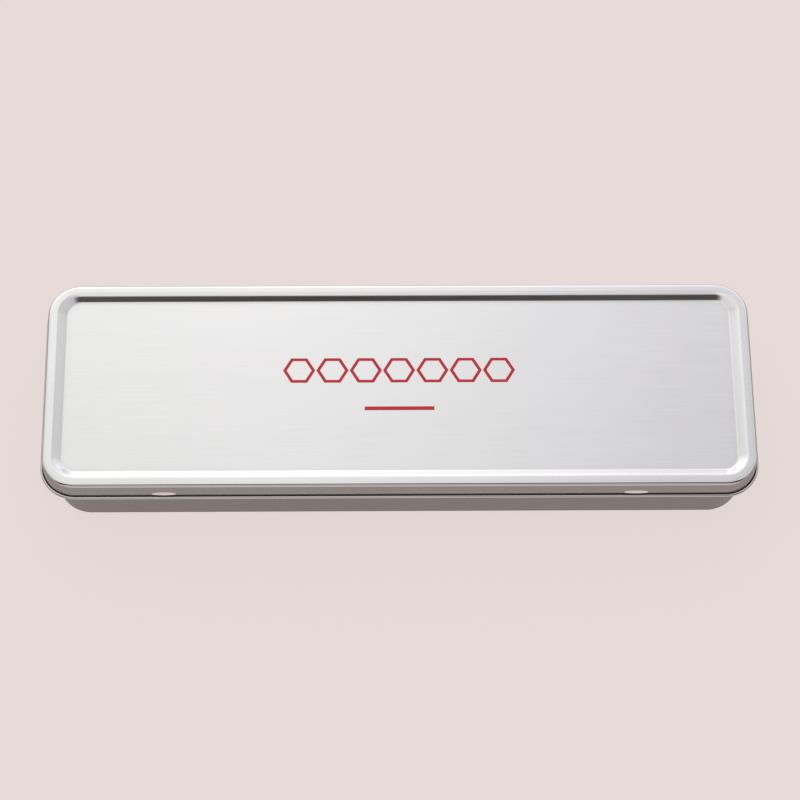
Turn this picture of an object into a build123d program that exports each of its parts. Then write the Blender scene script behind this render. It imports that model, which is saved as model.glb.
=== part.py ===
from build123d import *
from math import sqrt

# A flat hinged tin for twelve hexagonal graphite pencils, in two layers of six.
# Millimetres. X runs along the tin, the catches face -Y, the hinges +Y, the lid +Z.
# The origin is on the table, under the middle of the closed tin.

# Pencils: the tin's inside follows from these
pencil_length = 175.0
pencil_flats = 7.1
pencil_edge_round = 0.6
pencil_end_bevel = 0.35
pencils_per_layer = 6
core_diameter = 2.2
core_clearance = 0.02
point_length = 17.0
point_flat = 0.5

# Moulded trays, one under each layer of pencils
tray_sheet = 0.4
tray_clearance = 0.3
pencil_gap = 0.3
side_land = 0.88
tip_room = 0.5
end_room = 4.14
finger_well = 26.0
ridge_height = 2.2
ridge_lean = 30.0
ridge_clearance = 0.25
layer_headroom = 2.2
lid_headroom = 0.45

# Tinplate base: a drawn tray, narrower at its foot, with a raised floor and a curled mouth
sheet = 0.25
floor_raise = 0.8
floor_slope_run = 0.6
floor_bend_radius = 0.2
standing_rim = 4.2
floor_corner_radius = 3.85
bottom_radius = 2.0
wall_taper = 1.95
base_curl = 0.7
base_curl_turn = 235.0
mouth_clearance = 0.2

# Tinplate lid: a sunk panel, a raised rim, a skirt and a rolled hem
hem_diameter = 1.0
hem_turn = 255.0
skirt_corner_radius = 8.8
skirt_clearance = 0.55
lid_depth = 6.6
panel_recess = 1.35
rim_width = 4.85
rim_slope_run = 1.9
rim_outer_radius = 1.1
rim_inner_radius = 1.6
panel_edge_radius = 0.8

# Catches pressed into the front: dimples in the skirt snap under pips on the base
catch_from_end = 32.9
catch_length = 7.4
catch_radius = 1.0
dimple_depth = 0.55
pip_height = 0.7
catch_lift = 1.4
catch_above_hem = 0.05

# Hinges on the rear wall: a leaf curled round a steel pin that lies in the lid's hem
hinge_from_end = 32.9
leaf_width = 10.0
leaf_sheet = 0.25
leaf_foot = 5.5
leaf_step_height = 1.2
leaf_step_drop = 0.8
leaf_bend_radius = 0.5
leaf_curl_turn = 270.0
leaf_corner_radius = 1.5
pin_clearance = 0.025
pin_length = 26.0
knuckle_clearance = 0.3

# Inside sizes, from the pencils to the walls
pencil_corners = pencil_flats * 2 / sqrt(3)
pencil_side = pencil_flats / sqrt(3)
pencil_pitch = pencil_corners + pencil_gap
tray_inside_length = end_room + pencil_length + tip_room
tray_inside_width = pencils_per_layer * pencil_pitch - pencil_gap + 2 * side_land
wall_length = tray_inside_length + 2 * tray_sheet
wall_width = tray_inside_width + 2 * tray_sheet
foot_inner_radius = bottom_radius - sheet
foot_room = foot_inner_radius - sqrt(foot_inner_radius**2 - (foot_inner_radius - floor_raise) ** 2)
foot_gap = foot_room + tray_clearance + sheet
blunt_end_x = end_room - tray_inside_length / 2

# Outside sizes, from the base's walls to the lid's hem
base_length = wall_length + 2 * (foot_gap + wall_taper)
base_width = wall_width + 2 * (foot_gap + wall_taper)
skirt_length = base_length + 2 * (base_curl + skirt_clearance)
skirt_width = base_width + 2 * (base_curl + skirt_clearance)
hem_projection = hem_diameter - sheet
tin_length = skirt_length + 2 * hem_projection
tin_width = skirt_width + 2 * hem_projection
rim_inset = wall_taper + standing_rim
floor_inset = rim_inset + floor_slope_run + sheet
base_corner_radius = floor_corner_radius + floor_inset
tray_corner_radius = base_corner_radius - wall_taper - foot_gap
catch_spacing = tin_length - 2 * catch_from_end
hinge_spacing = tin_length - 2 * hinge_from_end

# Heights, from the table upwards
floor_top = floor_raise + sheet
layer_pitch = tray_sheet + pencil_flats + layer_headroom
panel_underside = floor_top + 2 * layer_pitch + lid_headroom
tin_height = panel_underside + sheet + panel_recess
hem_bottom = tin_height - lid_depth
hem_z = hem_bottom + hem_diameter / 2
mouth_z = tin_height - sheet - mouth_clearance
curl_z = mouth_z - base_curl / 2

# The base's walls lean outwards, from their foot to the curl
wall_rise = curl_z - sheet / 2
wall_slant = sqrt(wall_rise**2 + wall_taper**2)
wall_inwards = (0, wall_rise / wall_slant, wall_taper / wall_slant)

# The hinge axis lies in the middle of the rear hem, the catches above the front hem
hinge_y = tin_width / 2 - hem_diameter / 2
dimple_z = hem_z + hem_diameter / 2 + catch_radius + catch_above_hem
pip_z = dimple_z + catch_lift


def loop_path(length, width, radius):
    """A rounded rectangle that starts in the middle of the front side."""
    with BuildLine() as path:
        FilletPolyline(
            (0, -width / 2),
            (length / 2, -width / 2),
            (length / 2, width / 2),
            (0, width / 2),
            radius=radius,
        )
        mirror(about=Plane.YZ)
    return path.wire()


def drawn_in(z):
    """How far the base's walls lie inside their mouth at a height z."""
    return wall_taper * (curl_z - z) / wall_rise


def catch_forms(axis_y, axis_z, inset):
    """The two spindles that a pair of catches is pressed round, drawn in by inset."""
    half_length = catch_length / 2 - inset
    with BuildPart() as spindles:
        for side in (-1, 1):
            centre = (side * catch_spacing / 2, axis_y, axis_z)
            with BuildSketch(Plane(centre, x_dir=(1, 0, 0), z_dir=(0, 0, 1))):
                with BuildLine():
                    ThreePointArc((-half_length, 0), (0, catch_radius - inset), (half_length, 0))
                    Line((half_length, 0), (-half_length, 0))
                make_face()
            revolve(axis=Axis(centre, (1, 0, 0)))
    return spindles.part


# Lid: one piece of tinplate, drawn, with its edge rolled outwards
skirt_middle = -skirt_width / 2 + sheet / 2
top_middle = tin_height - sheet / 2
panel_middle = panel_underside + sheet / 2
slope_foot = -skirt_width / 2 + rim_width
hem_middle_radius = (hem_diameter - sheet) / 2
panel_inset = rim_width + panel_edge_radius
dimple_axis_y = -skirt_width / 2 + sheet + dimple_depth - catch_radius
notch_top = hem_z + hem_diameter / 2 + knuckle_clearance
dimples = catch_forms(dimple_axis_y, dimple_z, 0)
dimple_hollows = catch_forms(dimple_axis_y, dimple_z, sheet)
with BuildPart() as lid:
    with BuildSketch(Plane.YZ) as lid_section:
        with BuildLine():
            CenterArc((skirt_middle - hem_middle_radius, hem_z), hem_middle_radius, 0, -hem_turn)
            FilletPolyline(
                (skirt_middle, hem_z),
                (skirt_middle, top_middle),
                (slope_foot - rim_slope_run, top_middle),
                (slope_foot, panel_middle),
                (-skirt_width / 2 + panel_inset, panel_middle),
                radius=[rim_outer_radius - sheet / 2, rim_inner_radius, panel_edge_radius],
            )
            offset(amount=sheet / 2)
        make_face()
    sweep(path=loop_path(skirt_length, skirt_width, skirt_corner_radius))
    with BuildSketch(Plane.XY.offset(panel_underside)) as panel:
        RectangleRounded(
            skirt_length - 2 * panel_inset,
            skirt_width - 2 * panel_inset,
            skirt_corner_radius - panel_inset,
        )
    extrude(amount=sheet)
    add(dimples)
    with BuildSketch(Plane.XY.offset(dimple_z - catch_radius)) as outside_skirt:
        with Locations((0, -skirt_width / 2)):
            with GridLocations(catch_spacing, 0, 2, 1):
                Rectangle(catch_length, 2 * catch_radius, align=(Align.CENTER, Align.MAX))
    extrude(amount=2 * catch_radius, mode=Mode.SUBTRACT)
    add(dimple_hollows, mode=Mode.SUBTRACT)
    with BuildSketch(Plane.XY.offset(notch_top)) as hinge_notches:
        with GridLocations(hinge_spacing, 0, 2, 1):
            with Locations((0, hinge_y)):
                Rectangle(leaf_width + 2 * knuckle_clearance, 2 * hem_diameter)
    extrude(amount=hem_bottom - notch_top - sheet, mode=Mode.SUBTRACT)

lid.part.label = "lid"
lid.part.color = Color(0.80, 0.80, 0.82)
export_step(lid.part, "parts/lid.step")

# Base: one piece of tinplate, its floor raised inside a standing rim
wall_middle = -base_width / 2 + sheet / 2
curl_middle_radius = (base_curl - sheet) / 2
floor_middle = floor_raise + sheet / 2
pip_wall_y = wall_middle + drawn_in(pip_z)
pip_axis_y = pip_wall_y - sheet / 2 - pip_height + catch_radius
pips = catch_forms(pip_axis_y, pip_z, 0)
pip_hollows = catch_forms(pip_axis_y, pip_z, sheet)
with BuildPart() as base:
    with BuildSketch(Plane.YZ) as base_section:
        with BuildLine():
            CenterArc(
                (wall_middle - curl_middle_radius, curl_z), curl_middle_radius, 0, base_curl_turn
            )
            FilletPolyline(
                (wall_middle, curl_z),
                (wall_middle + wall_taper, sheet / 2),
                (-base_width / 2 + rim_inset, sheet / 2),
                (-base_width / 2 + rim_inset + floor_slope_run, floor_middle),
                (-base_width / 2 + floor_inset, floor_middle),
                radius=[bottom_radius - sheet / 2, floor_bend_radius, floor_bend_radius],
            )
            offset(amount=sheet / 2)
        make_face()
    sweep(path=loop_path(base_length, base_width, base_corner_radius))
    with BuildSketch(Plane.XY.offset(floor_raise)) as floor:
        RectangleRounded(
            base_length - 2 * floor_inset, base_width - 2 * floor_inset, floor_corner_radius
        )
    extrude(amount=sheet)
    add(pips)
    add(pip_hollows, mode=Mode.SUBTRACT)
    pip_plane = Plane((0, pip_wall_y, pip_z), x_dir=(1, 0, 0), z_dir=wall_inwards)
    with BuildSketch(pip_plane.offset(sheet / 2)) as inside_wall:
        with GridLocations(catch_spacing, 0, 2, 1):
            Rectangle(catch_length, 3 * catch_radius)
    extrude(amount=2 * catch_radius, mode=Mode.SUBTRACT)

base.part.label = "base"
base.part.color = Color(0.66, 0.66, 0.68)
export_step(base.part, "parts/base.step")

# Hinge leaves: strips spot-welded to the rear wall, curled over the pin
leaf_off_wall = (sheet + leaf_sheet) / 2 * wall_slant / wall_rise
leaf_top_z = hem_z - leaf_step_drop - leaf_step_height
leaf_foot_z = leaf_foot - leaf_sheet
leaf_top_y = leaf_off_wall - wall_middle - drawn_in(leaf_top_z)
leaf_foot_y = leaf_off_wall - wall_middle - drawn_in(leaf_foot_z)
knuckle_middle_radius = (hem_diameter - leaf_sheet) / 2
knuckle_side = hinge_y - knuckle_middle_radius
pin_radius = hem_diameter / 2 - leaf_sheet - pin_clearance
for side, side_name in ((-1, "left"), (1, "right")):
    hinge_x = side * hinge_spacing / 2
    with BuildPart() as hinge_leaf:
        with BuildSketch(Plane.YZ.offset(hinge_x)) as leaf_section:
            with BuildLine():
                CenterArc((hinge_y, hem_z), knuckle_middle_radius, 180, -leaf_curl_turn)
                FilletPolyline(
                    (knuckle_side, hem_z),
                    (knuckle_side, hem_z - leaf_step_drop),
                    (leaf_top_y, leaf_top_z),
                    (leaf_foot_y, leaf_foot_z),
                    radius=leaf_bend_radius,
                )
                offset(amount=leaf_sheet / 2)
            make_face()
        extrude(amount=leaf_width / 2, both=True)
        foot_plane = Plane((hinge_x, 0, leaf_foot), x_dir=(1, 0, 0), z_dir=(0, -1, 0))
        with BuildSketch(foot_plane) as leaf_outline:
            Rectangle(leaf_width, tin_height, align=(Align.CENTER, Align.MIN))
            fillet(leaf_outline.vertices().group_by(Axis.Y)[0], leaf_corner_radius)
        extrude(amount=-tin_width, mode=Mode.INTERSECT)
    hinge_leaf.part.label = "hinge_leaf_" + side_name
    hinge_leaf.part.color = Color(0.60, 0.60, 0.62)
    export_step(hinge_leaf.part, "parts/hinge_leaf_" + side_name + ".step")

    # Its pin, cut from straight wire
    with BuildPart() as hinge_pin:
        with BuildSketch(Plane.YZ.offset(hinge_x)) as pin_section:
            with Locations((hinge_y, hem_z)):
                Circle(pin_radius)
        extrude(amount=pin_length / 2, both=True)
    hinge_pin.part.label = "hinge_pin_" + side_name
    hinge_pin.part.color = Color(0.50, 0.50, 0.52)
    export_step(hinge_pin.part, "parts/hinge_pin_" + side_name + ".step")

# Trays: thin moulded sheet with hollow ridges that keep the pencils apart
ridge_bottom = pencil_pitch - pencil_side - 2 * ridge_clearance
ridge_run = (pencil_length - point_length - finger_well) / 2
core_radius = core_diameter / 2 - core_clearance
point_slope = (pencil_corners - point_flat) / (2 * point_length)
core_point_length = (core_radius - point_flat / 2) / point_slope
for layer, layer_name in ((0, "lower"), (1, "upper")):
    tray_z = floor_top + layer * layer_pitch
    flange_inset = sheet + tray_clearance + drawn_in(tray_z + layer_pitch)
    with BuildPart() as tray:
        with BuildSketch(Plane.XY.offset(tray_z)) as tray_wall:
            RectangleRounded(wall_length, wall_width, tray_corner_radius)
        extrude(amount=layer_pitch)
        with BuildSketch(Plane.XY.offset(tray_z + layer_pitch)) as tray_flange_ring:
            RectangleRounded(
                base_length - 2 * flange_inset,
                base_width - 2 * flange_inset,
                base_corner_radius - flange_inset,
            )
        extrude(amount=-tray_sheet)
        with BuildSketch(Plane.XY.offset(tray_z + tray_sheet)) as tray_inside:
            RectangleRounded(
                tray_inside_length, tray_inside_width, tray_corner_radius - tray_sheet
            )
        extrude(amount=layer_pitch, mode=Mode.SUBTRACT)
        for run_start in (blunt_end_x, blunt_end_x + ridge_run + finger_well):
            with BuildSketch(Plane.XY.offset(tray_z + tray_sheet)) as ridge_foot:
                with Locations((run_start + ridge_run / 2, 0)):
                    with GridLocations(0, pencil_pitch, 1, pencils_per_layer - 1):
                        Rectangle(ridge_run, ridge_bottom)
            extrude(amount=ridge_height, taper=ridge_lean)
            with BuildSketch(Plane.XY.offset(tray_z)) as ridge_hollow:
                with Locations((run_start + ridge_run / 2, 0)):
                    with GridLocations(0, pencil_pitch, 1, pencils_per_layer - 1):
                        Rectangle(ridge_run - 2 * tray_sheet, ridge_bottom - 2 * tray_sheet)
            extrude(amount=ridge_height, taper=ridge_lean, mode=Mode.SUBTRACT)
    tray.part.label = layer_name + "_tray"
    tray.part.color = Color(0.20, 0.20, 0.21)
    export_step(tray.part, "parts/" + layer_name + "_tray.step")

    # The six pencils that lie in it, their points to the right
    for place in range(pencils_per_layer):
        number = str(layer * pencils_per_layer + place + 1)
        pencil_y = (place - (pencils_per_layer - 1) / 2) * pencil_pitch
        pencil_z = tray_z + tray_sheet + pencil_flats / 2
        blunt_end = (blunt_end_x, pencil_y, pencil_z)
        upright = Plane(blunt_end, x_dir=(1, 0, 0), z_dir=(0, -1, 0))
        across = Plane(blunt_end, x_dir=(0, 1, 0), z_dir=(1, 0, 0))
        pencil_axis = Axis(blunt_end, (1, 0, 0))
        with BuildPart() as pencil_case:
            with BuildSketch(across) as hexagon:
                RegularPolygon(pencil_flats / 2, 6, major_radius=False)
                fillet(hexagon.vertices(), pencil_edge_round)
            extrude(amount=pencil_length)
            with BuildSketch(upright) as sharpened:
                with BuildLine():
                    Polyline(
                        (0, 0),
                        (0, pencil_corners / 2 - pencil_end_bevel),
                        (pencil_end_bevel, pencil_corners / 2),
                        (pencil_length - point_length, pencil_corners / 2),
                        (pencil_length, point_flat / 2),
                        (pencil_length, 0),
                        (0, 0),
                    )
                make_face()
            revolve(axis=pencil_axis, mode=Mode.INTERSECT)
            with BuildSketch(across) as bore:
                Circle(core_diameter / 2)
            extrude(amount=pencil_length, mode=Mode.SUBTRACT)
        pencil_case.part.label = "pencil_" + number + "_case"
        pencil_case.part.color = Color(0.22, 0.23, 0.25)
        export_step(pencil_case.part, "parts/pencil_" + number + "_case.step")

        with BuildPart() as pencil_core:
            with BuildSketch(upright) as core_half:
                with BuildLine():
                    Polyline(
                        (0, 0),
                        (0, core_radius),
                        (pencil_length - core_point_length, core_radius),
                        (pencil_length, point_flat / 2),
                        (pencil_length, 0),
                        (0, 0),
                    )
                make_face()
            revolve(axis=pencil_axis)
        pencil_core.part.label = "pencil_" + number + "_core"
        pencil_core.part.color = Color(0.10, 0.10, 0.11)
        export_step(pencil_core.part, "parts/pencil_" + number + "_core.step")
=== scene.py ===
import bmesh
import bpy
from math import cos, pi, radians, sin, sqrt, tan
from mathutils import Matrix, Vector


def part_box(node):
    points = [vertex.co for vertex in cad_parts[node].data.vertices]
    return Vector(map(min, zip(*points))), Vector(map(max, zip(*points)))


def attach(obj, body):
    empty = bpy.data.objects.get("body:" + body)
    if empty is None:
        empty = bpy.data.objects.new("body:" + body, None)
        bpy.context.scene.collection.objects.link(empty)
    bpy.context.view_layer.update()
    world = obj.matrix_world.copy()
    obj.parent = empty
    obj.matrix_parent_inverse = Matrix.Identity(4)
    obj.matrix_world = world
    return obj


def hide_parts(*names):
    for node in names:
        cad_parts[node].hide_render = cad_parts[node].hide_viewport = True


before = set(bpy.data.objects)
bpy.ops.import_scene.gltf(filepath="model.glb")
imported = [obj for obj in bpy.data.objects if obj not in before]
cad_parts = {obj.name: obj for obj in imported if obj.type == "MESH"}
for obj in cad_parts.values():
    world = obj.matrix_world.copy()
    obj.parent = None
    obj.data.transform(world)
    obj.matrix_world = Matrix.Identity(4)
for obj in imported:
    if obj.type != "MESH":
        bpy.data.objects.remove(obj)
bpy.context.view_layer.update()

MM = 0.001

# The camera: a long lens, almost over the tin and a little to the left of square on.
# Its distance and angles are those that the straight edges in the photograph fit.
camera_elevation = radians(61.0)
camera_azimuth = radians(1.64)
camera_roll = radians(1.22)
camera_distance = 901.8 * MM
camera_target = Vector((0.48, 7.22, 0.0)) * MM
sensor_width = 36.0
focal_pixels = 3301.0
photo_pixels = 800.0

camera_data = bpy.data.cameras.new("camera")
camera_data.sensor_width = sensor_width
camera_data.lens = focal_pixels / photo_pixels * sensor_width
camera = bpy.data.objects.new("camera", camera_data)
bpy.context.scene.collection.objects.link(camera)
bpy.context.scene.camera = camera
looking = Vector((
    sin(camera_azimuth) * cos(camera_elevation),
    cos(camera_azimuth) * cos(camera_elevation),
    -sin(camera_elevation),
))
level_right = Vector((cos(camera_azimuth), -sin(camera_azimuth), 0.0))
level_up = level_right.cross(looking)
camera_right = cos(camera_roll) * level_right + sin(camera_roll) * level_up
camera_up = cos(camera_roll) * level_up - sin(camera_roll) * level_right
turn = Matrix((camera_right, camera_up, -looking)).transposed().to_4x4()
camera.matrix_world = Matrix.Translation(camera_target - camera_distance * looking) @ turn

# The studio: a pale pinkish table that the metal doesn't mirror, and a room that it does. The
# room is bright behind the tin and overhead, dark at one place in front, and dim below.
bpy.context.scene.view_settings.view_transform = "Standard"
table_half_size = 3.0
table_colour = (0.791, 0.708, 0.686)
table_glow = 0.92
table_share_lit = 0.11


def new_material(name):
    """An empty node material with a Principled shader, and its nodes and links."""
    made = bpy.data.materials.new(name)
    made.use_nodes = True
    nodes = made.node_tree.nodes
    nodes.clear()
    output = nodes.new("ShaderNodeOutputMaterial")
    shader = nodes.new("ShaderNodeBsdfPrincipled")
    made.node_tree.links.new(shader.outputs["BSDF"], output.inputs["Surface"])
    return made, shader, nodes, made.node_tree.links


def mesh_piece(name, build, materials, smooth_angle=radians(35)):
    """A mesh object made by build(bm), smooth except across edges sharper than smooth_angle."""
    mesh = bpy.data.meshes.new(name)
    bm = bmesh.new()
    build(bm)
    bm.normal_update()
    bm.to_mesh(mesh)
    bm.free()
    for material in materials:
        mesh.materials.append(material)
    mesh.shade_smooth()
    mesh.set_sharp_from_angle(angle=smooth_angle)
    piece = bpy.data.objects.new(name, mesh)
    bpy.context.scene.collection.objects.link(piece)
    return piece


def table_sheet(bm):
    """One flat square, level with the tin's underside."""
    corners = [(-1, -1), (1, -1), (1, 1), (-1, 1)]
    bm.faces.new([bm.verts.new((table_half_size * x, table_half_size * y, 0)) for x, y in corners])


table_paint, shader, nodes, links = new_material("table_paint")
shader.inputs["Base Color"].default_value = (*[table_share_lit * c for c in table_colour], 1)
shader.inputs["Roughness"].default_value = 0.9
shader.inputs["Specular IOR Level"].default_value = 0.0
shader.inputs["Emission Color"].default_value = (*table_colour, 1)
shader.inputs["Emission Strength"].default_value = table_glow
table = mesh_piece("table", table_sheet, [table_paint])
table.visible_glossy = False

world = bpy.data.worlds.new("room")
bpy.context.scene.world = world
world.use_nodes = True
nodes, links = world.node_tree.nodes, world.node_tree.links
background = nodes["Background"]
direction = nodes.new("ShaderNodeTexCoord")
split = nodes.new("ShaderNodeSeparateXYZ")
links.new(direction.outputs["Generated"], split.inputs[0])


def room_curve(axis, stops):
    """Light along one axis of the direction, drawn smoothly through (place, *light) stops."""
    ramp = nodes.new("ShaderNodeValToRGB")
    ramp.color_ramp.interpolation = "EASE"
    points = ramp.color_ramp.elements
    while len(points) < len(stops):
        points.new(0.5)
    for point, (place, *light) in zip(points, stops):
        point.position = (place + 1) / 2
        point.color = (*(light if len(light) == 3 else 3 * light), 1)
    place = nodes.new("ShaderNodeMapRange")
    place.inputs["From Min"].default_value = -1.0
    links.new(split.outputs[axis], place.inputs["Value"])
    links.new(place.outputs["Result"], ramp.inputs["Fac"])
    return ramp.outputs["Color"]


def room_mix(kind, factor, first, second):
    """Two colours of light mixed; a socket is linked and a number or colour is set."""
    mix = nodes.new("ShaderNodeMix")
    mix.data_type = "RGBA"
    mix.blend_type = kind
    for socket, value in (("Factor", factor), ("A", first), ("B", second)):
        if isinstance(value, bpy.types.NodeSocket):
            links.new(value, mix.inputs[socket])
        else:
            mix.inputs[socket].default_value = value
    return mix.outputs["Result"]


front_to_back = room_curve("Y", [
    (-1.0, 0.80), (-0.88, 0.74), (-0.78, 0.10), (-0.64, 0.08), (-0.50, 0.84), (-0.42, 0.88),
    (0.0, 0.95), (0.30, 0.90), (0.46, 0.935), (0.53, 1.10), (0.60, 1.20), (0.86, 1.42),
    (1.0, 1.45),
])
left_to_right = room_curve("X", [
    (-1.0, 0.90), (-0.085, 1.02), (-0.07, 1.01), (-0.035, 1.06, 1.05, 1.055), (0.01, 1.0),
    (0.06, 0.92, 0.91, 0.935), (0.105, 0.785, 0.775, 0.82), (0.3, 0.75, 0.75, 0.79), (1.0, 0.78),
])
near_floor = room_curve("Z", [(0.05, 0.42, 0.39, 0.38), (0.22, 0.46, 0.43, 0.42), (0.5, 1.0)])
in_front = room_curve("Y", [(-0.05, 1.0), (0.3, 0.0)])
dark_front = room_curve("Y", [(-0.85, 0.0), (-0.77, 1.0), (-0.66, 1.0), (-0.52, 0.0)])
dark_middle = room_curve("X", [(-0.12, 0.0), (-0.03, 1.0), (0.02, 1.0), (0.08, 0.2)])
floor_light = room_curve("Z", [
    (-1.0, 0.28), (-0.875, 0.33), (-0.6, 0.50), (-0.3, 0.90), (-0.12, 0.58),
])
floor_sides = room_curve("X", [(-0.8, 0.6), (-0.4, 1.0), (0.4, 1.0), (0.8, 0.6)])
above_floor = room_curve("Z", [(-0.06, 0.0), (0.04, 1.0)])

upper = room_mix("MULTIPLY", 1.0, front_to_back, left_to_right)
upper = room_mix("MULTIPLY", in_front, upper, near_floor)
darkest = room_mix("MIX", dark_middle, (1.0, 0.78, 0.70, 1), (0.38, 0.34, 0.34, 1))
upper = room_mix("MULTIPLY", dark_front, upper, darkest)
lower = room_mix("MULTIPLY", 1.0, floor_light, floor_sides)
lower = room_mix("MULTIPLY", 1.0, lower, (1.0, 0.87, 0.84, 1))
room_light = room_mix("MIX", above_floor, lower, upper)
links.new(room_light, background.inputs["Color"])

# Base: one sheet of tinplate drawn into a tray. Its floor is pressed up inside a standing
# rim, its mouth is curled outwards, and two pips are pressed out of its front wall.
low_corner, high_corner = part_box("base")
sheet = 0.25 * MM
base_curl = 0.7 * MM
base_curl_turn = radians(235)
base_half_length = high_corner.x - (base_curl - sheet)
base_half_width = high_corner.y - (base_curl - sheet)
base_corner_radius = 10.85 * MM
floor_raise = 0.8 * MM
bottom_radius = 2.0 * MM
wall_taper = 1.95 * MM
standing_rim = 4.2 * MM
floor_slope_run = 0.6 * MM
floor_bend_radius = 0.2 * MM
mouth_z = high_corner.z
catch_from_middle = 62.1 * MM
catch_half_length = 3.3 * MM
catch_half_height = 0.82 * MM
pip_height = 0.7 * MM
pip_peak = 0.5
pip_z = 19.35 * MM
bend_step = radians(9)
longest_step = 4.0 * MM
base_step = 0.25 * MM
catch_step = 0.2 * MM
fine_step = 0.1 * MM
corner_steps = 16


def bent_line(corners, radii):
    """The middle line of a bent sheet: straight runs through corners, rounded to radii."""
    points = [Vector(corners[0])]
    for before, corner, after, radius in zip(corners, corners[1:], corners[2:], radii):
        corner = Vector(corner)
        to_before = (Vector(before) - corner).normalized()
        to_after = (Vector(after) - corner).normalized()
        half_angle = to_before.angle(to_after) / 2
        centre = corner + (to_before + to_after).normalized() * radius / sin(half_angle)
        start = corner + to_before * radius / tan(half_angle) - centre
        end = corner + to_after * radius / tan(half_angle) - centre
        turned = start.angle_signed(end)
        steps = max(2, round(abs(turned) / bend_step))
        for i in range(steps + 1):
            points.append(centre + Matrix.Rotation(-turned * i / steps, 2) @ start)
    points.append(Vector(corners[-1]))
    return points


def curled_line(centre, radius, start, sweep):
    """The middle line of a curled edge, after its first point."""
    steps = round(abs(sweep) / bend_step)
    angles = [start + sweep * i / steps for i in range(1, steps + 1)]
    return [Vector((centre[0] + radius * cos(a), centre[1] + radius * sin(a))) for a in angles]


def evened(points, step, catch_z):
    """The same line in parts no longer than step, or than fine_step beside a catch."""
    line = [points[0]]
    band = (catch_z - catch_half_height, catch_z + catch_half_height)
    for point in points[1:]:
        start = line[-1].copy()
        rise = point.y - start.y
        shares = [(height - start.y) / rise for height in band] if rise else []
        stops = [0.0] + sorted(share for share in shares if 0 < share < 1) + [1.0]
        for first, last in zip(stops, stops[1:]):
            beside = band[0] < start.y + rise * (first + last) / 2 < band[1]
            length = (point - start).length * (last - first)
            parts = max(1, round(length / (fine_step if beside else step) + 0.4))
            for i in range(1, parts + 1):
                line.append(start.lerp(point, first + (last - first) * i / parts))
    return line


def sheet_sides(line, thickness):
    """The two faces of a sheet about its middle line, and the rounded cut edge at its end."""
    sides = ([], [])
    for i, point in enumerate(line):
        along = (line[min(i + 1, len(line) - 1)] - line[max(i - 1, 0)]).normalized()
        across = Vector((-along.y, along.x)) * thickness / 2
        sides[0].append(point + across)
        sides[1].append(point - across)
    end = line[-1]
    across = sides[0][-1] - end
    quarter = Matrix.Rotation(pi / 2, 2) @ across
    turned = pi / 4 if quarter.dot(end - line[-2]) > 0 else -pi / 4
    edge = [end + Matrix.Rotation(turned * i, 2) @ across for i in (1, 2, 3)]
    return sides[0], edge, sides[1]


def side_stops(half, fine_places=(), fine_half=0.0):
    """Where a straight side is divided: evenly, and finely round the fine places."""
    count = max(2, round(2 * half / longest_step))
    stops = {round(-half + 2 * half * i / count, 9) for i in range(count + 1)}
    for place in fine_places:
        stops = {s for s in stops if abs(s - place) > fine_half or abs(abs(s) - half) < 1e-9}
        steps = round(2 * fine_half / catch_step)
        stops |= {round(place - fine_half + 2 * fine_half * i / steps, 9) for i in range(steps + 1)}
    return sorted(stops)


def walk_round(half_length, half_width, radius, front_stops, rear_stops):
    """Points and outward normals round a rounded rectangle, from the front left corner."""
    straight = (half_length - radius, half_width - radius)
    stops = []
    side_y = side_stops(straight[1])
    for x in front_stops:
        stops.append((Vector((x, -half_width)), Vector((0, -1))))
    corners = ((1, -1, -90), (1, 1, 0), (-1, 1, 90), (-1, -1, 180))
    for turn, (sx, sy, start) in enumerate(corners):
        centre = Vector((sx * straight[0], sy * straight[1]))
        for i in range(1, corner_steps):
            angle = radians(start + 90 * i / corner_steps)
            normal = Vector((cos(angle), sin(angle)))
            stops.append((centre + radius * normal, normal))
        if turn == 0:
            stops += [(Vector((half_length, y)), Vector((1, 0))) for y in side_y]
        elif turn == 1:
            stops += [(Vector((x, half_width)), Vector((0, 1))) for x in reversed(rear_stops)]
        elif turn == 2:
            stops += [(Vector((-half_length, y)), Vector((-1, 0))) for y in reversed(side_y)]
    return stops


def pressed(x, z, middle_z, depth, peak):
    """How deep a catch is pressed at x, z; peak is the share of its height at its deepest."""
    along = (abs(x) - catch_from_middle) / catch_half_length
    if abs(along) >= 1:
        return 0.0
    narrowed = sqrt(1 - along**2)
    share = ((z - middle_z) / catch_half_height / narrowed + 1) / 2
    return depth * narrowed * max(0.0, min(share / peak, (1 - share) / (1 - peak)))


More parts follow.
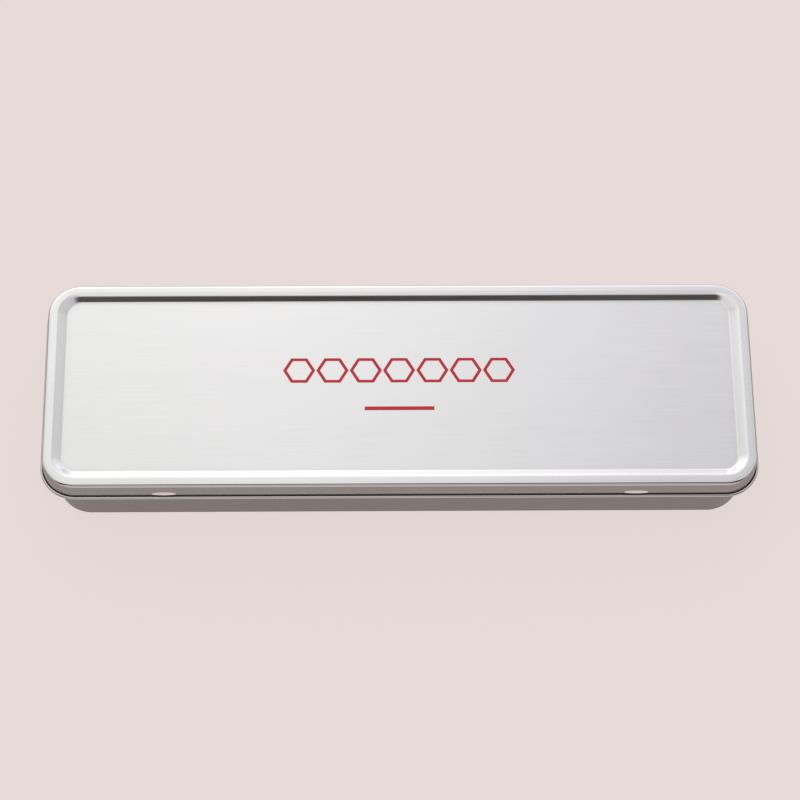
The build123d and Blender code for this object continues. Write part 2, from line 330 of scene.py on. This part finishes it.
def drawn_sheet(bm, line, stops, press, notches=(), notch_start=None):
    """A pressed sheet: line, as inset and height, carried round stops, with both flats closed.

    press moves each point, and at the rear no sheet is left past notch_start inside notches.
    """
    face_a, edge, face_b = sheet_sides(line, sheet)
    section = face_a + edge + face_b[::-1]
    rows = []
    for point, normal in stops:
        row = []
        for inset, height in section:
            place = point - normal * inset
            row.append(bm.verts.new(press(place.x, place.y, height, normal)))
        rows.append(row)
    count = len(line)
    first_cut = notch_start if notch_start is not None else len(section)
    last_cut = len(section) - 1 - first_cut

    def notched(i, k):
        x = (stops[i][0].x, stops[k][0].x)
        rear = stops[i][1].y > 0.99 and stops[k][1].y > 0.99
        return rear and any(low - 1e-7 <= min(x) and max(x) <= high + 1e-7 for low, high in notches)

    for i in range(len(rows)):
        k = (i + 1) % len(rows)
        cut = notched(i, k)
        for j in range(len(section) - 1):
            if not (cut and first_cut <= j < last_cut):
                bm.faces.new((rows[i][j], rows[i][j + 1], rows[k][j + 1], rows[k][j]))
        if cut:
            ends = (rows[i][first_cut], rows[i][last_cut], rows[k][last_cut], rows[k][first_cut])
            bm.faces.new(ends)
            for other in (i - 1, (k + 1) % len(rows)):
                here = i if other == i - 1 else k
                pair = (other, i) if other == i - 1 else (k, other)
                if not notched(*pair):
                    for j in range(first_cut, count - 1):
                        m = len(section) - 1 - j
                        quad = [rows[here][j], rows[here][j + 1], rows[here][m - 1], rows[here][m]]
                        bm.faces.new(quad if here == k else quad[::-1])
                    cap = rows[here][count - 1 : count + len(edge) + 1]
                    bm.faces.new(cap if here == k else cap[::-1])
    bm.faces.new([row[0] for row in rows])
    bm.faces.new([row[-1] for row in rows][::-1])
    bmesh.ops.recalc_face_normals(bm, faces=bm.faces)


rim_inset = wall_taper + standing_rim
floor_inset = rim_inset + floor_slope_run
flat_lap = 0.35 * MM
floor_middle = floor_raise + sheet / 2
curl_radius = (base_curl - sheet) / 2
base_line = bent_line(
    [
        (floor_inset + flat_lap, floor_middle),
        (floor_inset, floor_middle),
        (rim_inset, sheet / 2),
        (wall_taper + sheet / 2, sheet / 2),
        (sheet / 2, mouth_z - base_curl / 2),
    ],
    [floor_bend_radius, floor_bend_radius, bottom_radius - sheet / 2],
)
curl_centre = (sheet / 2 - curl_radius, mouth_z - base_curl / 2)
base_line += curled_line(curl_centre, curl_radius, 0, base_curl_turn)
base_line = evened(base_line, base_step, pip_z)
catches = (-catch_from_middle, catch_from_middle)


def base_mesh(bm):
    """The drawn tray with its two pips."""
    front = side_stops(base_half_length - base_corner_radius, catches, catch_half_length)
    rear = side_stops(base_half_length - base_corner_radius)
    stops = walk_round(base_half_length, base_half_width, base_corner_radius, front, rear)

    def press(x, y, z, normal):
        out = pressed(x, z, pip_z, pip_height, pip_peak) if normal.y < -0.99 else 0.0
        return (x, y - out, z)

    drawn_sheet(bm, base_line, stops, press)


def stretched_noise(nodes, links, place, scale, noise_scale, detail):
    """Noise over a place that is first scaled, so that a small scale draws it out there."""
    stretch = nodes.new("ShaderNodeMapping")
    stretch.inputs["Scale"].default_value = scale
    links.new(place, stretch.inputs["Vector"])
    noise = nodes.new("ShaderNodeTexNoise")
    noise.inputs["Scale"].default_value = noise_scale
    noise.inputs["Detail"].default_value = detail
    links.new(stretch.outputs["Vector"], noise.inputs["Vector"])
    return noise.outputs["Fac"]


def spread(nodes, links, value, low, high):
    """Noise, which keeps near its middle, spread over low to high."""
    span = nodes.new("ShaderNodeMapRange")
    span.inputs["From Min"].default_value = 0.3
    span.inputs["From Max"].default_value = 0.7
    span.inputs["To Min"].default_value = low
    span.inputs["To Max"].default_value = high
    links.new(value, span.inputs["Value"])
    return span.outputs["Result"]


def rolled_grain_and_shade_group():
    """Rolled tinplate: faint lines along the sheet, soft clouding, and painted shade that darkens
    its crevices.
    """
    group = bpy.data.node_groups.new("rolled_tinplate_grain_and_shade", "ShaderNodeTree")
    for name, kind, value in (
        ("Metal", "NodeSocketColor", (0.8, 0.8, 0.8, 1)),
        ("Sheen Roughness", "NodeSocketFloat", 0.25),
        ("Grain Depth", "NodeSocketFloat", 0.02),
    ):
        socket = group.interface.new_socket(name, in_out="INPUT", socket_type=kind)
        socket.default_value = value
    for name, kind in (
        ("Color", "NodeSocketColor"),
        ("Roughness", "NodeSocketFloat"),
        ("Normal", "NodeSocketVector"),
    ):
        group.interface.new_socket(name, in_out="OUTPUT", socket_type=kind)
    nodes, links = group.nodes, group.links
    given = nodes.new("NodeGroupInput")
    result = nodes.new("NodeGroupOutput")
    place = nodes.new("ShaderNodeTexCoord").outputs["Object"]
    fine = stretched_noise(nodes, links, place, (0.02, 1.0, 1.0), 2600.0, 3.0)
    broad = stretched_noise(nodes, links, place, (0.10, 1.0, 1.0), 260.0, 4.0)
    cloud = stretched_noise(nodes, links, place, (1.0, 1.0, 1.0), 38.0, 3.0)

    both = nodes.new("ShaderNodeMath")
    both.operation = "ADD"
    links.new(spread(nodes, links, fine, 0.0, 0.7), both.inputs[0])
    links.new(spread(nodes, links, broad, 0.0, 0.3), both.inputs[1])

    tint = nodes.new("ShaderNodeMix")
    tint.data_type = "RGBA"
    tint.blend_type = "MULTIPLY"
    tint.inputs["Factor"].default_value = 1.0
    shade = nodes.new("ShaderNodeCombineColor")
    grey = nodes.new("ShaderNodeMath")
    grey.operation = "ADD"
    links.new(spread(nodes, links, both.outputs[0], -0.010, 0.010), grey.inputs[0])
    links.new(spread(nodes, links, cloud, 0.985, 1.0), grey.inputs[1])
    for channel in ("Red", "Green", "Blue"):
        links.new(grey.outputs[0], shade.inputs[channel])
    links.new(given.outputs["Metal"], tint.inputs["A"])
    links.new(shade.outputs["Color"], tint.inputs["B"])

    # Painted shade: ambient occlusion darkens the metal's colour in crevices and beside close
    # surfaces, such as the skirt just above the hem, to stand in for the shade there.
    crevice = nodes.new("ShaderNodeAmbientOcclusion")
    crevice.samples = 8
    crevice.inputs["Distance"].default_value = 2.5 * MM
    painted_shade = nodes.new("ShaderNodeMix")
    painted_shade.data_type = "RGBA"
    painted_shade.blend_type = "MULTIPLY"
    painted_shade_share = nodes.new("ShaderNodeMapRange")
    painted_shade_share.inputs["From Min"].default_value = 0.94
    painted_shade_share.inputs["From Max"].default_value = 0.55
    links.new(crevice.outputs["AO"], painted_shade_share.inputs["Value"])
    links.new(painted_shade_share.outputs["Result"], painted_shade.inputs["Factor"])
    links.new(tint.outputs["Result"], painted_shade.inputs["A"])
    painted_shade.inputs["B"].default_value = (0.60, 0.53, 0.50, 1)
    links.new(painted_shade.outputs["Result"], result.inputs["Color"])

    rough = nodes.new("ShaderNodeMath")
    rough.operation = "ADD"
    rough_cloud = nodes.new("ShaderNodeMath")
    rough_cloud.operation = "ADD"
    links.new(given.outputs["Sheen Roughness"], rough.inputs[0])
    links.new(spread(nodes, links, cloud, -0.01, 0.01), rough.inputs[1])
    links.new(rough.outputs[0], rough_cloud.inputs[0])
    links.new(spread(nodes, links, fine, -0.015, 0.015), rough_cloud.inputs[1])
    links.new(rough_cloud.outputs[0], result.inputs["Roughness"])

    bump = nodes.new("ShaderNodeBump")
    bump.inputs["Distance"].default_value = 0.02 * MM
    links.new(given.outputs["Grain Depth"], bump.inputs["Strength"])
    links.new(both.outputs[0], bump.inputs["Height"])
    links.new(bump.outputs["Normal"], result.inputs["Normal"])
    return group


tinplate_grain_and_shade = rolled_grain_and_shade_group()


def tinplate(name, metal, roughness, depth):
    """A material of bare rolled tinplate with its own brightness, gloss and grain depth, and
    painted shade in its crevices.
    """
    made, shader, nodes, links = new_material(name)
    group = nodes.new("ShaderNodeGroup")
    group.node_tree = tinplate_grain_and_shade
    group.inputs["Metal"].default_value = (*metal, 1)
    group.inputs["Sheen Roughness"].default_value = roughness
    group.inputs["Grain Depth"].default_value = depth
    shader.inputs["Metallic"].default_value = 1.0
    links.new(group.outputs["Color"], shader.inputs["Base Color"])
    links.new(group.outputs["Roughness"], shader.inputs["Roughness"])
    links.new(group.outputs["Normal"], shader.inputs["Normal"])
    return made


# Painted shade: the base's tinplate is given a darker colour than the lid's, though both are the
# same metal, to stand in for the shade its wall lies in below the lid.
base_tinplate = tinplate("base_tinplate", (0.70, 0.68, 0.675), 0.17, 0.08)
base_tray = mesh_piece("base_tray", base_mesh, [base_tinplate])
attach(base_tray, "base")
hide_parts("base")

# Lid: one sheet of the same tinplate, its panel sunk inside a raised rim, its skirt ending
# in an outward rolled hem. Two long dimples are pressed into its front above the hem, and
# two gaps are cut in the rear hem for the hinges' knuckles.
low_corner, high_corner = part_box("lid")
hem_diameter = 1.0 * MM
hem_turn = radians(255)
hem_bottom = low_corner.z
hem_projection = hem_diameter - sheet
skirt_half_length = high_corner.x - hem_projection
skirt_half_width = high_corner.y - hem_projection
skirt_corner_radius = 8.8 * MM
lid_top = high_corner.z
panel_recess = 1.35 * MM
rim_width = 4.85 * MM
rim_slope_run = 1.9 * MM
rim_outer_radius = 1.1 * MM
rim_inner_radius = 1.6 * MM
panel_edge_radius = 0.8 * MM
hem_z = hem_bottom + hem_diameter / 2
hem_radius = (hem_diameter - sheet) / 2
dimple_depth = 0.55 * MM
dimple_peak = 0.8
dimple_z = 17.95 * MM
notch_half_length = 5.3 * MM
knuckle_clearance = 0.3 * MM
notch_top = hem_z + hem_diameter / 2 + knuckle_clearance
lid_step = 0.3 * MM
hem_step = 0.16 * MM

panel_middle = lid_top - panel_recess - sheet / 2
top_middle = lid_top - sheet / 2
lid_line = bent_line(
    [
        (rim_width + panel_edge_radius + flat_lap, panel_middle),
        (rim_width, panel_middle),
        (rim_width - rim_slope_run, top_middle),
        (sheet / 2, top_middle),
        (sheet / 2, notch_top),
    ],
    [panel_edge_radius, rim_inner_radius, rim_outer_radius - sheet / 2],
)
lid_line = evened(lid_line, lid_step, dimple_z)
notch_start = len(lid_line) - 1
lower_skirt = [lid_line[-1], Vector((sheet / 2, hem_z))]
lower_skirt += curled_line((sheet / 2 - hem_radius, hem_z), hem_radius, 0, -hem_turn)
lid_line += evened(lower_skirt, hem_step, dimple_z)[1:]


def lid_mesh(bm):
    """The drawn lid with its two dimples and the gaps in its rear hem for the knuckles."""
    half = skirt_half_length - skirt_corner_radius
    front = side_stops(half, catches, catch_half_length)
    rear = side_stops(half, catches, notch_half_length)
    stops = walk_round(skirt_half_length, skirt_half_width, skirt_corner_radius, front, rear)
    notches = [(middle - notch_half_length, middle + notch_half_length) for middle in catches]

    def press(x, y, z, normal):
        on_skirt = normal.y < -0.99 and y < -skirt_half_width + rim_outer_radius / 2
        inward = pressed(x, z, dimple_z, dimple_depth, dimple_peak) if on_skirt else 0.0
        return (x, y + inward, z)

    drawn_sheet(bm, lid_line, stops, press, notches, notch_start)


lid_tinplate = tinplate("lid_tinplate", (0.80, 0.795, 0.79), 0.13, 0.08)
lid_shell = mesh_piece("lid_shell", lid_mesh, [lid_tinplate])
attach(lid_shell, "lid")
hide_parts("lid")

# Print on the panel: a row of plain hexagon outlines, like pencil ends, over a short rule,
# in red ink as thin as a silk-screened layer.
ink_height = 0.02 * MM
ink_clearance = 0.004 * MM
ink_foot = lid_top - panel_recess + ink_clearance
ring_radius = 4.3 * MM
ring_width = 0.95 * MM
ring_pitch = 8.9 * MM
ring_count = 7
row_y = 4.6 * MM
rule_y = -7.0 * MM
rule_size = (18.5 * MM, 1.1 * MM)


def printed_band(bm, outer, inner):
    """A closed band of ink between two outlines of as many corners."""
    levels = (ink_foot, ink_foot + ink_height)
    loops = [[bm.verts.new((x, y, z)) for x, y in line] for line in (outer, inner) for z in levels]
    outer_low, outer_high, inner_low, inner_high = loops
    ring = (outer_low, outer_high, inner_high, inner_low)
    for a, b in zip(ring, ring[1:] + ring[:1]):
        for i in range(len(outer)):
            k = (i + 1) % len(outer)
            bm.faces.new((a[i], a[k], b[k], b[i]))


def hexagon(x, y, radius):
    """The six corners of a hexagon about x, y."""
    return [(x + radius * cos(a * pi / 3), y + radius * sin(a * pi / 3)) for a in range(6)]


def print_mesh(bm):
    """The row of rings and the rule."""
    for i in range(ring_count):
        x = (i - (ring_count - 1) / 2) * ring_pitch
        inner = hexagon(x, row_y, ring_radius - ring_width)
        printed_band(bm, hexagon(x, row_y, ring_radius), inner)
    size = (*rule_size, ink_height)
    middle = Vector((0, rule_y, ink_foot + ink_height / 2))
    bmesh.ops.create_cube(bm, size=1, matrix=Matrix.LocRotScale(middle, None, Vector(size)))
    bmesh.ops.recalc_face_normals(bm, faces=bm.faces)


red_ink, shader, nodes, links = new_material("red_ink")
place = nodes.new("ShaderNodeTexCoord").outputs["Object"]
screen = stretched_noise(nodes, links, place, (1.0, 1.0, 1.0), 1800.0, 2.0)
tone = nodes.new("ShaderNodeMix")
tone.data_type = "RGBA"
tone.inputs["A"].default_value = (0.58, 0.020, 0.030, 1)
tone.inputs["B"].default_value = (0.66, 0.032, 0.042, 1)
links.new(spread(nodes, links, screen, 0.0, 1.0), tone.inputs["Factor"])
links.new(tone.outputs["Result"], shader.inputs["Base Color"])
links.new(spread(nodes, links, screen, 0.42, 0.5), shader.inputs["Roughness"])
shader.inputs["Specular IOR Level"].default_value = 0.3
panel_print = mesh_piece("panel_print", print_mesh, [red_ink])
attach(panel_print, "lid")

# Hinge leaves and pins: the leaves are bent strips of the same mill's plate, duller than the
# lid, and the pins plain drawn wire. Their CAD shapes are right, so they stay.
hinge_plate = tinplate("hinge_plate", (0.62, 0.61, 0.60), 0.28, 0.2)
pin_wire = tinplate("pin_wire", (0.55, 0.55, 0.56), 0.2, 0.12)
for side in ("left", "right"):
    for node, finish in (("hinge_leaf_", hinge_plate), ("hinge_pin_", pin_wire)):
        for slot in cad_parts[node + side].material_slots:
            slot.material = finish

# Trays: thin black sheet moulded over a form, satin, with the dull rub lines that pencils
# leave along it. Their CAD shapes are right, so they stay.
tray_plastic, shader, nodes, links = new_material("tray_plastic")
place = nodes.new("ShaderNodeTexCoord").outputs["Object"]
pebble = stretched_noise(nodes, links, place, (1.0, 1.0, 1.0), 2400.0, 2.0)
rub = stretched_noise(nodes, links, place, (0.03, 1.0, 1.0), 700.0, 3.0)
haze = stretched_noise(nodes, links, place, (1.0, 1.0, 1.0), 60.0, 3.0)
dull = spread(nodes, links, rub, 0.32, 0.46)
tone = nodes.new("ShaderNodeMix")
tone.data_type = "RGBA"
tone.inputs["A"].default_value = (0.016, 0.016, 0.018, 1)
tone.inputs["B"].default_value = (0.030, 0.030, 0.031, 1)
links.new(haze, tone.inputs["Factor"])
links.new(tone.outputs["Result"], shader.inputs["Base Color"])
links.new(dull, shader.inputs["Roughness"])
bump = nodes.new("ShaderNodeBump")
bump.inputs["Strength"].default_value = 0.35
bump.inputs["Distance"].default_value = 0.02 * MM
links.new(pebble, bump.inputs["Height"])
links.new(bump.outputs["Normal"], shader.inputs["Normal"])
for layer in ("lower", "upper"):
    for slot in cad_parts[layer + "_tray"].material_slots:
        slot.material = tray_plastic

# Pencils: hexagonal cedar cases with rounded edges, lacquered graphite grey, cut square at
# one end and sharpened at the other, where the lacquer ends in a scalloped line.
pencil_flats = 7.1 * MM
pencil_corners = pencil_flats * 2 / sqrt(3)
pencil_length = 175.0 * MM
edge_round = 0.6 * MM
end_bevel = 0.35 * MM
bore_radius = 1.1 * MM
point_length = 17.0 * MM
point_flat = 0.5 * MM
point_slope = (pencil_corners - point_flat) / 2 / point_length
flat_half_angle = 25.69
flat_steps = 8
edge_steps = 8
cone_steps = 6


def hexagon_radius(angle):
    """How far the case's surface lies from its axis, angle degrees round from a corner."""
    from_corner = radians(abs((angle + 30) % 60 - 30))
    if from_corner > radians(30 - flat_half_angle):
        return pencil_flats / 2 / cos(radians(30) - from_corner)
    middle = pencil_corners / 2 - edge_round * 2 / sqrt(3)
    return middle * cos(from_corner) + sqrt(edge_round**2 - (middle * sin(from_corner)) ** 2)


def sharpened_place(radius):
    """Where along the pencil its cone has this radius."""
    return pencil_length - (radius - point_flat / 2) / point_slope


def pencil_mesh(bm):
    """A case about the X axis, its cut end at the origin."""
    rows = []
    for corner in range(6):
        half = 30 - flat_half_angle
        turns = [-half + 2 * half * i / edge_steps for i in range(edge_steps)]
        turns += [half + 2 * flat_half_angle * i / flat_steps for i in range(flat_steps)]
        for turned in turns:
            angle = 60 * corner + turned
            radius = hexagon_radius(angle)
            line = [(0.0, bore_radius), (0.0, min(radius, pencil_corners / 2 - end_bevel))]
            line += [(end_bevel, radius), (sharpened_place(radius), radius)]
            for i in range(1, cone_steps + 1):
                narrower = radius + (bore_radius - radius) * i / cone_steps
                line.append((sharpened_place(narrower), narrower))
            across = Vector((0, cos(radians(angle)), sin(radians(angle))))
            rows.append([bm.verts.new(across * r + Vector((x, 0, 0))) for x, r in line])
    for i, row in enumerate(rows):
        after = rows[(i + 1) % len(rows)]
        for j in range(len(row)):
            k = (j + 1) % len(row)
            face = bm.faces.new((row[j], row[k], after[k], after[j]))
            face.material_index = 0 if j in (1, 2) else 1
    bmesh.ops.recalc_face_normals(bm, faces=bm.faces)


lacquer, shader, nodes, links = new_material("pencil_lacquer")
place = nodes.new("ShaderNodeTexCoord").outputs["Object"]
flakes = stretched_noise(nodes, links, place, (1.0, 1.0, 1.0), 5200.0, 1.0)
ripple = stretched_noise(nodes, links, place, (0.25, 1.0, 1.0), 900.0, 2.0)
tone = nodes.new("ShaderNodeMix")
tone.data_type = "RGBA"
tone.inputs["A"].default_value = (0.050, 0.053, 0.060, 1)
tone.inputs["B"].default_value = (0.120, 0.125, 0.138, 1)
links.new(spread(nodes, links, flakes, 0.0, 1.0), tone.inputs["Factor"])
links.new(tone.outputs["Result"], shader.inputs["Base Color"])
shader.inputs["Metallic"].default_value = 0.45
shader.inputs["Roughness"].default_value = 0.38
shader.inputs["Coat Weight"].default_value = 0.9
links.new(spread(nodes, links, ripple, 0.06, 0.12), shader.inputs["Coat Roughness"])
bump = nodes.new("ShaderNodeBump")
bump.inputs["Strength"].default_value = 0.2
bump.inputs["Distance"].default_value = 0.02 * MM
links.new(ripple, bump.inputs["Height"])
links.new(bump.outputs["Normal"], shader.inputs["Normal"])
links.new(bump.outputs["Normal"], shader.inputs["Coat Normal"])

cedar, shader, nodes, links = new_material("pencil_cedar")
place = nodes.new("ShaderNodeTexCoord").outputs["Object"]
rings = stretched_noise(nodes, links, place, (0.06, 1.0, 1.0), 1300.0, 3.0)
pores = stretched_noise(nodes, links, place, (0.12, 1.0, 1.0), 5200.0, 2.0)
blade = stretched_noise(nodes, links, place, (1.0, 0.1, 0.1), 3800.0, 1.0)
tone = nodes.new("ShaderNodeValToRGB")
tone.color_ramp.elements[0].position = 0.32
tone.color_ramp.elements[0].color = (0.335, 0.170, 0.088, 1)
tone.color_ramp.elements[1].position = 0.66
tone.color_ramp.elements[1].color = (0.560, 0.345, 0.205, 1)
links.new(rings, tone.inputs["Fac"])
links.new(tone.outputs["Color"], shader.inputs["Base Color"])
links.new(spread(nodes, links, pores, 0.55, 0.75), shader.inputs["Roughness"])
rough = nodes.new("ShaderNodeMath")
rough.operation = "ADD"
links.new(pores, rough.inputs[0])
links.new(blade, rough.inputs[1])
bump = nodes.new("ShaderNodeBump")
bump.inputs["Strength"].default_value = 0.4
bump.inputs["Distance"].default_value = 0.03 * MM
links.new(rough.outputs[0], bump.inputs["Height"])
links.new(bump.outputs["Normal"], shader.inputs["Normal"])

graphite, shader, nodes, links = new_material("graphite")
place = nodes.new("ShaderNodeTexCoord").outputs["Object"]
burnish = stretched_noise(nodes, links, place, (0.3, 1.0, 1.0), 3000.0, 3.0)
shader.inputs["Base Color"].default_value = (0.070, 0.071, 0.076, 1)
shader.inputs["Metallic"].default_value = 0.4
links.new(spread(nodes, links, burnish, 0.34, 0.5), shader.inputs["Roughness"])
bump = nodes.new("ShaderNodeBump")
bump.inputs["Strength"].default_value = 0.3
bump.inputs["Distance"].default_value = 0.02 * MM
links.new(burnish, bump.inputs["Height"])
links.new(bump.outputs["Normal"], shader.inputs["Normal"])

pencils = 12
for number in range(1, pencils + 1):
    node = f"pencil_{number}_case"
    low_corner, high_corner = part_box(node)
    case = mesh_piece(f"pencil_{number}", pencil_mesh, [lacquer, cedar], radians(10))
    middle = (low_corner + high_corner) / 2
    case.location = (low_corner.x, middle.y, middle.z)
    case.rotation_euler.x = number % 2 * pi
    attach(case, "base")
    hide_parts(node)
    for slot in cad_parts[f"pencil_{number}_core"].material_slots:
        slot.material = graphite
